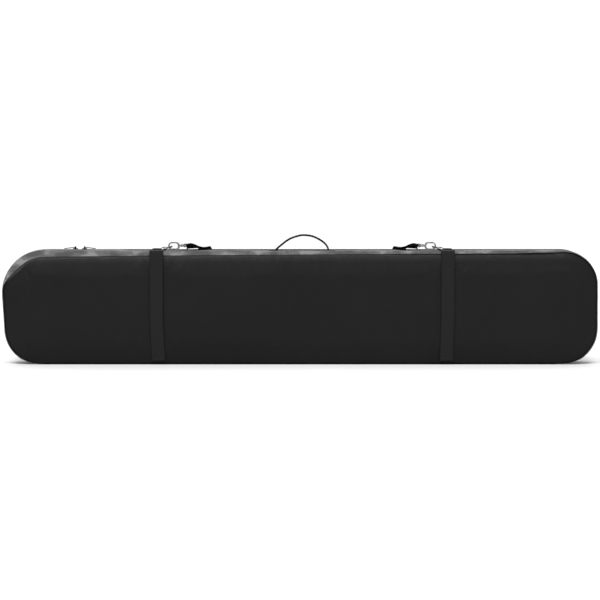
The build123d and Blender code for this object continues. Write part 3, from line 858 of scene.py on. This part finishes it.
def box_stitch(middle, half_along, half_across, along, across_dir):
    """Box with a cross in it, as sewn over the end of a webbing."""
    up = along.cross(across_dir).normalized()
    if up.dot(Vector((0, -1, 1))) < 0:
        up = -up
    corners = [middle + along * (a * half_along) + across_dir * (b * half_across)
               for a, b in ((-1, -1), (1, -1), (1, 1), (-1, 1))]
    lines = [(corners[i], corners[(i + 1) % 4]) for i in range(4)]
    lines += [(corners[0], corners[2]), (corners[1], corners[3])]
    return [([a.lerp(b, k / 6) for k in range(7)], [up] * 7) for a, b in lines]


# ---- webbing ----
def ribbon(name, centres, widths, faces_up, width, thick, edge=0.35):
    """Flat webbing with rounded edges along a list of centres. Its width direction and face normal are
    given at each centre, or once for all."""
    widths, faces_up = ([v] * len(centres) if isinstance(v, Vector) else v for v in (widths, faces_up))
    shape = []
    for k in range(9):
        share = k / 8 * 2 - 1
        shape.append((share * width / 2, thick / 2 * (1 - edge * abs(share) ** 8)))
    profile = shape + [(a, -b) for a, b in reversed(shape)]
    verts = []
    for centre, w, up in zip(centres, widths, faces_up):
        verts += [centre + w * a + up * b for a, b in profile]
    n = len(profile)
    faces = grid_faces(len(centres), n, closed=True)
    faces.append(tuple(range(n))[::-1])
    faces.append(tuple((len(centres) - 1) * n + i for i in range(n)))
    piece = new_piece(name, verts, faces)
    clean(piece, 1e-7)
    return piece


def edge_lines(path, widths, ups, reach, lift):
    """Lines for stitches along both edges of a webbing."""
    return [([p + w * offset + u * lift for p, w, u in zip(path, widths, ups)], ups)
            for offset in (-reach, reach)]


def flat_path(points):
    """Tangent of each point of a path."""
    out = []
    for k in range(len(points)):
        a, b = points[max(k - 1, 0)], points[min(k + 1, len(points) - 1)]
        out.append((b - a).normalized())
    return out


def smooth_path(points, count):
    """Points of a Catmull-Rom curve through a few points."""
    out = []
    spans = len(points) - 1
    for k in range(count):
        t = k / (count - 1) * spans
        i = min(int(t), spans - 1)
        u = t - i
        p0, p1, p2, p3 = (points[min(max(j, 0), spans)] for j in (i - 1, i, i + 1, i + 2))
        out.append(0.5 * (2 * p1 + (p2 - p0) * u + (2 * p0 - 5 * p1 + 4 * p2 - p3) * u * u
                          + (3 * p1 - p0 - 3 * p2 + p3) * u ** 3))
    return out


def build_back_straps():
    for side, x in zip(("left", "right"), STRAPS):
        low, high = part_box(f"{side}_back_strap")
        thick = BACK_Y - low.y
        out = low.y + thick / 2 - 0.0006
        over = high.z - thick / 2 + 0.0012
        slant = 0.006 if side == "left" else -0.004
        route = [Vector((x + slant, out, low.z)), Vector((x + slant * 0.5, out, low.z + 0.05))]
        route += [Vector((x, out, low.z + (HEIGHT - low.z) * share)) for share in (0.4, 0.6, 0.8, 0.93)]
        route += [Vector((x, out + 0.0035, over - 0.0035)), Vector((x, out + 0.014, over))]
        route += [Vector((x, y, over)) for y in (-0.045, -0.020, 0.005, high.y)]
        path = smooth_path(route, 90)
        tangents = flat_path(path)
        ups = [ALONG.cross(t).normalized() * -1 for t in tangents]
        ups = [u if u.dot(Vector((0, -1, 1))) > 0 else -u for u in ups]
        piece = ribbon(f"{side}_back_strap_webbing", path, ALONG, ups, STRAP_WIDTH, thick)
        finish_piece(piece, "bag_body", WEB_UP, (f"{side}_back_strap",))
        rows = edge_lines(path, [ALONG] * len(path), ups, STRAP_WIDTH / 2 - 0.003, thick / 2)
        tacks = [0.006, 0.009] + ([0.254, 0.2555, 0.257] if side == "right" else [])
        for rise in tacks:
            half = STRAP_WIDTH / 2 - 0.004 if rise < 0.1 else 0.009
            middle = Vector((x + slant * (1 - rise / 0.1 if rise < 0.1 else 0), low.y - 0.0006, low.z + rise))
            line = [middle + ALONG * (half * (k / 4 - 1)) for k in range(9)]
            rows.append((line, [Vector((0, -1, 0))] * len(line)))
        stitches(f"{side}_back_strap_stitches", rows, "bag_body")


def build_ring_tabs():
    for side, inward in (("left", 1), ("right", -1)):
        low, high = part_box(f"{side}_ring_tab")
        width = high.y - low.y
        layer = 0.0021
        ring_low, ring_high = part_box(f"{side}_d_ring")
        bar_x = ring_low.x + 0.0026 if inward > 0 else ring_high.x - 0.0026
        bar_z = (low.z + high.z) / 2 - 0.0002
        radius = (high.z - low.z) / 2 - layer / 2
        tail = low.x if inward > 0 else high.x
        y = (low.y + high.y) / 2
        route = [Vector((tail, y, low.z + layer / 2)), Vector((bar_x - inward * 0.012, y, low.z + layer / 2))]
        for k in range(9):
            angle = -math.pi / 2 + math.pi * k / 8
            x = bar_x + inward * radius * math.cos(angle)
            route.append(Vector((x, y, bar_z + radius * math.sin(angle))))
        route += [Vector((bar_x - inward * 0.006, y, high.z - layer * 0.9)),
                  Vector((bar_x - inward * 0.013, y, low.z + layer * 1.7)),
                  Vector((tail, y, low.z + layer * 1.5))]
        path = smooth_path(route, 70)
        tangents = flat_path(path)
        ups = [t.cross(ACROSS).normalized() for t in tangents]
        piece = ribbon(f"{side}_ring_tab_webbing", path, ACROSS, ups, width, layer)
        finish_piece(piece, "bag_body", WEB_ALONG, (f"{side}_ring_tab",))
        middle = Vector((tail + inward * 0.011, y, low.z + layer * 2.02))
        stitches(f"{side}_ring_tab_stitches",
                 box_stitch(middle, 0.008, width / 2 - 0.004, ALONG, ACROSS), "bag_body")


def build_handle():
    low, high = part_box("carry_handle")
    width = high.y - low.y
    y = (low.y + high.y) / 2
    thick = 0.0050
    rise = high.z - low.z
    left, right = low.x + 0.002, high.x - 0.002
    shares = [(0.0, 0.0), (0.10, 0.30), (0.25, 0.70), (0.42, 0.93), (0.545, 0.985), (0.70, 0.90),
              (0.84, 0.66), (0.945, 0.36), (1.0, 0.0)]
    route = [Vector((left + (right - left) * a, y, low.z + (rise - thick / 2) * b)) for a, b in shares]
    path = smooth_path(route, 90)
    tangents = flat_path(path)
    ups = [(t.cross(ACROSS)).normalized() for t in tangents]
    ups = [u if u.z > 0 or abs(u.z) < 0.3 else -u for u in ups]
    layers = []
    for sign in (-1, 1):
        shifted = [p + u * (sign * thick / 4) for p, u in zip(path, ups)]
        narrower = 0.001 if sign > 0 else 0
        layers.append(ribbon("layer", shifted, ACROSS, ups, width - narrower,
                             thick / 2 - 0.0002))
    piece = join("handle_webbing", layers)
    finish_piece(piece, "bag_body", WEB_ALONG, ("carry_handle",))
    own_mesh(piece)
    rows = edge_lines(path, [ACROSS] * len(path), ups, width / 2 - 0.004, thick / 2 - 0.0001)
    rows = [(line[3:-3], normals[3:-3]) for line, normals in rows]
    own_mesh(stitches("handle_stitches", rows, "bag_body"))
    for side, sign in (("left", -1), ("right", 1)):
        a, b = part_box(f"{side}_handle_foot")
        thick_foot = b.z - a.z
        path = [Vector((a.x + (b.x - a.x) * k / 12, y, a.z + thick_foot / 2 + 0.0004 * math.sin(k)))
                for k in range(13)]
        foot = ribbon(f"{side}_handle_foot_webbing", path, ACROSS, UP,
                      width, thick_foot)
        finish_piece(foot, "bag_body", WEB_ALONG, (f"{side}_handle_foot",))
        middle = Vector(((a.x + b.x) / 2 + sign * 0.004, y, b.z + 0.0002))
        stitches(f"{side}_handle_foot_stitches",
                 box_stitch(middle, 0.007, width / 2 - 0.004, ALONG, ACROSS), "bag_body")


# ---- shoulder strap: the same stations as in the model ----
EYE_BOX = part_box("left_swivel_eye")
EYE_X = EYE_BOX[1].x
EYE_Y = (EYE_BOX[0].y + EYE_BOX[1].y) / 2
EYE_Z = (EYE_BOX[0].z + EYE_BOX[1].z) / 2
HANG_Y = LID_Y + 0.0035
SHOULDER_WIDTH = 0.036
SHOULDER_THICK = 0.0020


def strap_stations():
    """Inward distance from the eye, depth, height and turn of the webbing's face, for the left half."""
    half = FITTINGS_X - EYE_X
    return [
        (-0.0010, EYE_Y, EYE_Z + 0.0010, 6),
        (0.006, EYE_Y, EYE_Z - 0.0020, 29),
        (0.012, EYE_Y + 0.003, EYE_Z - 0.0032, 30),
        (0.022, EYE_Y + 0.015, HEIGHT + 0.0085, 18),
        (0.034, EYE_Y + 0.038, HEIGHT + 0.0070, 9),
        (0.043, HANG_Y - 0.018, HEIGHT + 0.0072, 12),
        (0.049, HANG_Y - 0.004, HEIGHT + 0.0045, 42),
        (0.0545, HANG_Y - 0.0005, HEIGHT - 0.008, 90),
        (0.064, HANG_Y, HEIGHT - 0.024, 90),
        (0.0745, HANG_Y, HEIGHT - 0.042, 90),
        (0.0835, HANG_Y, HEIGHT - 0.068, 90),
        (0.092, HANG_Y, HEIGHT - 0.096, 90),
        (0.122, HANG_Y, HEIGHT - 0.158, 90),
        (0.168, HANG_Y, HEIGHT - 0.206, 90),
        (0.228, HANG_Y, HEIGHT - 0.234, 90),
        (half, HANG_Y, HEIGHT - 0.242, 90),
    ]


def build_shoulder_strap():
    left = strap_stations()
    middle = FITTINGS_X
    route = [Vector((EYE_X + u, y, z)) for u, y, z, _ in left]
    route += [Vector((2 * middle - EYE_X - u, y, z)) for u, y, z, _ in reversed(left[:-1])]
    turns = [turn for *_, turn in left] + [turn for *_, turn in reversed(left[:-1])]
    count = 420
    path = smooth_path(route, count)
    angles = smooth_path([Vector((turn, 0, 0)) for turn in turns], count)
    tangents = flat_path(path)
    tangents[0] = tangents[-1] = Vector((1, 0, 0))
    widths, ups = [], []
    for tangent, angle in zip(tangents, angles):
        turn = math.radians(min(max(angle.x, 0.0), 90.0))
        face = Vector((0, math.sin(turn), math.cos(turn)))
        width = face.cross(tangent).normalized()
        widths.append(width)
        ups.append(tangent.cross(width).normalized())
    strap = ribbon("strap_webbing", path, widths, ups, SHOULDER_WIDTH, SHOULDER_THICK)
    loops = []
    for x, inward in ((EYE_X, 1), (2 * middle - EYE_X, -1)):
        points = []
        for k in range(25):
            angle = 2 * math.pi * k / 24
            cx, cz = math.cos(angle), math.sin(angle)
            points.append(Vector((x - inward * 0.0028 + 0.0046 * math.copysign(abs(cx) ** 0.6, cx), EYE_Y,
                                  EYE_Z + 0.0042 * math.copysign(abs(cz) ** 0.6, cz))))
        tangents = flat_path(points)
        loop_ups = [t.cross(ACROSS).normalized() for t in tangents]
        loops.append(ribbon("loop", points, ACROSS, loop_ups, SHOULDER_WIDTH, 0.0014))
    strap = join("shoulder_strap_webbing", [strap] + loops)
    finish_piece(strap, "shoulder_strap", WEB_DEEP, ("shoulder_strap",))
    rows = edge_lines(path, widths, ups, SHOULDER_WIDTH / 2 - 0.003, SHOULDER_THICK / 2)
    stitches("shoulder_strap_stitches", rows, "shoulder_strap")


# ---- zipper ----
def build_zipper():
    halves = (
        ("body", "bag_body", BODY_EDGE_Y, -1),
        ("lid", "lid", LID_EDGE_Y, 1),
    )
    for half, body, edge, away in halves:
        along = stations(S_ZIP_LEFT, S_ZIP_RIGHT, STEP)
        outer, inner = [], []
        for s in along:
            p, n = outline_at(s)
            for k in range(6):
                y = edge + away * (0.011 * k / 5) - away * 0.0003
                lift = 0.0007 if k < 3 else 0.0007 - 0.0002 * (k - 2)
                outer.append((p.x + n.x * lift, y, p.y + n.y * lift))
                inner.append((p.x - n.x * 0.0006, y, p.y - n.y * 0.0006))
        tape = slab_mesh(f"{half}_tape", outer, inner, len(along), 6)
        finish_piece(tape, body, TAPE, (f"{half}_zipper_tape",))
        build_coil(half, body, edge, away)


def build_coil(half, body, edge, away):
    """One half of the coil: a bent monofilament turn every 2.2 mm."""
    pitch = 0.0022
    verts, faces = [], []
    along = stations(S_ZIP_LEFT + 0.005, S_ZIP_RIGHT - 0.005, pitch)
    shift = 0.0 if away < 0 else pitch / 2
    ring = 6
    bend = [(0.0006, 0.0008), (0.0002, 0.0019), (-0.0008, 0.0023), (-0.0015, 0.0017), (-0.0015, 0.0010),
            (-0.0006, 0.0006)]
    for s in along:
        p, n = outline_at(s + shift)
        tangent = Vector((n.y, 0, -n.x))
        out = Vector((n.x, 0, n.y))
        deep = Vector((0, away, 0))
        base = Vector((p.x, edge, p.y))
        start = len(verts)
        for k, (a, b) in enumerate(bend):
            centre = base + deep * a + out * b + tangent * (pitch * 0.35 * (k / 5 - 0.5))
            before, after = bend[max(k - 1, 0)], bend[min(k + 1, 5)]
            run = (deep * (after[0] - before[0]) + out * (after[1] - before[1])).normalized()
            side = run.cross(tangent).normalized()
            for c in range(ring):
                turn = 2 * math.pi * c / ring
                verts.append(centre + (tangent * math.cos(turn) + side * math.sin(turn)) * 0.00048)
        for r in range(len(bend) - 1):
            for c in range(ring):
                d = (c + 1) % ring
                near, far = start + r * ring, start + (r + 1) * ring
                faces.append((near + c, near + d, far + d, far + c))
        faces.append(tuple(start + c for c in reversed(range(ring))))
        faces.append(tuple(start + (len(bend) - 1) * ring + c for c in range(ring)))
    piece = new_piece(f"{half}_coil", verts, faces)
    finish_piece(piece, body, COIL, (f"{half}_zipper_coil",))


# ---- hinge of the lid ----
def build_hinge():
    """Strip of fabric from the bottom gusset round the front edge up to the lid."""
    low = 0.0006
    route = [Vector((0, LOWER_EDGE_Y - 0.012, low)), Vector((0, LOWER_EDGE_Y - 0.004, low)),
             Vector((0, LID_Y - 0.008, low)), Vector((0, LID_Y - 0.0035, 0.0014)),
             Vector((0, LID_Y - 0.0010, 0.0042)), Vector((0, LID_Y + 0.0002, 0.0085)),
             Vector((0, LID_Y + 0.0004, 0.0160))]
    line = smooth_path(route, 26)
    tangents = flat_path(line)
    columns = stations(-SEAM_X - 0.02, SEAM_X + 0.02, 0.010)
    outer, inner = [], []
    for x in columns:
        for p, t in zip(line, tangents):
            out = t.cross(ALONG).normalized() * -1
            if out.dot(Vector((0, 1, -1))) < 0:
                out = -out
            outer.append((x, p.y + out.y * 0.0004, max(p.z + out.z * 0.0004, 0.0)))
            inner.append((x, p.y - out.y * 0.0005, p.z - out.z * 0.0005))
    piece = slab_mesh("lid_hinge_fabric", outer, inner, len(columns), len(line))
    piece.data.materials.append(BLACK)
    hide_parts("lid_hinge_strip")
    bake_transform(piece)


# ---- CAD nodes that keep their shape ----
def paint_nodes():
    """Materials for the model's own pieces."""
    looks = {
        "steel": STEEL_PAINTED_REFLECTIONS,
        "dark_metal": DARK_METAL,
        "buckle_plastic": PLASTIC,
        "webbing": WEB_UP,
        "lining": LINING,
        "padding": FOAM,
        "zipper_tape": TAPE,
        "zipper_coil": COIL,
        "black_shell": BLACK,
        "grey_shell": GREY,
    }
    slots = {part["node"]: part["material_slot"] for part in frame["record"]["subparts"]}
    for name, node in frame["nodes"].items():
        material = looks[slots[name]]
        if not node.material_slots:
            node.data.materials.append(material)
        for entry in node.material_slots:
            entry.link = "OBJECT"
            entry.material = material


# ---- stage, light and camera ----
def build_stage():
    floor = new_piece("floor", [(-8, -8, 0), (8, -8, 0), (8, 8, 0), (-8, 8, 0)], [(0, 1, 2, 3)], smooth=False)
    m = Shader("pale_floor")
    m.set(Roughness=0.9, Specular_IOR_Level=0.1)
    m.tone(m.noise(1.5, 2.0), [(0.3, grey(0.86)), (0.7, grey(0.90))])
    floor.data.materials.append(m.material)

    world = bpy.data.worlds.new("studio")
    bpy.context.scene.world = world
    world.use_nodes = True
    tree = world.node_tree
    place = tree.nodes.new("ShaderNodeTexCoord").outputs["Generated"]
    split = tree.nodes.new("ShaderNodeSeparateXYZ")
    tree.links.new(place, split.inputs[0])
    ramp = tree.nodes.new("ShaderNodeValToRGB")
    sky = ((0.16, (1.05, 1.05, 1.05, 1.0)), (0.45, (0.45, 0.45, 0.46, 1.0)))
    for element, (position, color) in zip(ramp.color_ramp.elements, sky):
        element.position, element.color = position, color
    tree.links.new(split.outputs["Z"], ramp.inputs[0])
    tree.links.new(ramp.outputs[0], tree.nodes["Background"].inputs["Color"])

    lamps = (("key_softbox", 2.5, 30, (0.06, 0.62, -0.78)), ("back_softbox", 1.1, 60, (0.10, -0.66, -0.74)))
    for name, power, spread, direction in lamps:
        light = bpy.data.lights.new(name, "SUN")
        light.energy = power
        light.angle = math.radians(spread)
        lamp = bpy.data.objects.new(name, light)
        bpy.context.scene.collection.objects.link(lamp)
        lamp.rotation_euler = Vector(direction).to_track_quat("-Z", "Y").to_euler()


def build_camera():
    """Long lens, square on to the back panel and a little above it."""
    distance = 7.0
    elevation = math.radians(2.9)
    target = Vector((0.0, BACK_Y, 0.1805))
    data = bpy.data.cameras.new("camera")
    camera = bpy.data.objects.new("camera", data)
    bpy.context.scene.collection.objects.link(camera)
    camera.location = target + Vector((0, -math.cos(elevation), math.sin(elevation))) * distance
    camera.rotation_euler = (target - camera.location).to_track_quat("-Z", "Y").to_euler()
    data.sensor_width = 36.0
    frame_width = 2 * HALF * 600 / 596
    data.lens = data.sensor_width * distance / frame_width
    bpy.context.scene.camera = camera


bpy.context.scene.view_settings.view_transform = "Standard"
build_camera()
build_stage()
build_gusset()
build_back_panel()
build_lid_panel()
build_foam()
build_linings()
build_tie_downs()
build_back_straps()
build_ring_tabs()
build_handle()
build_shoulder_strap()
build_zipper()
build_hinge()
paint_nodes()
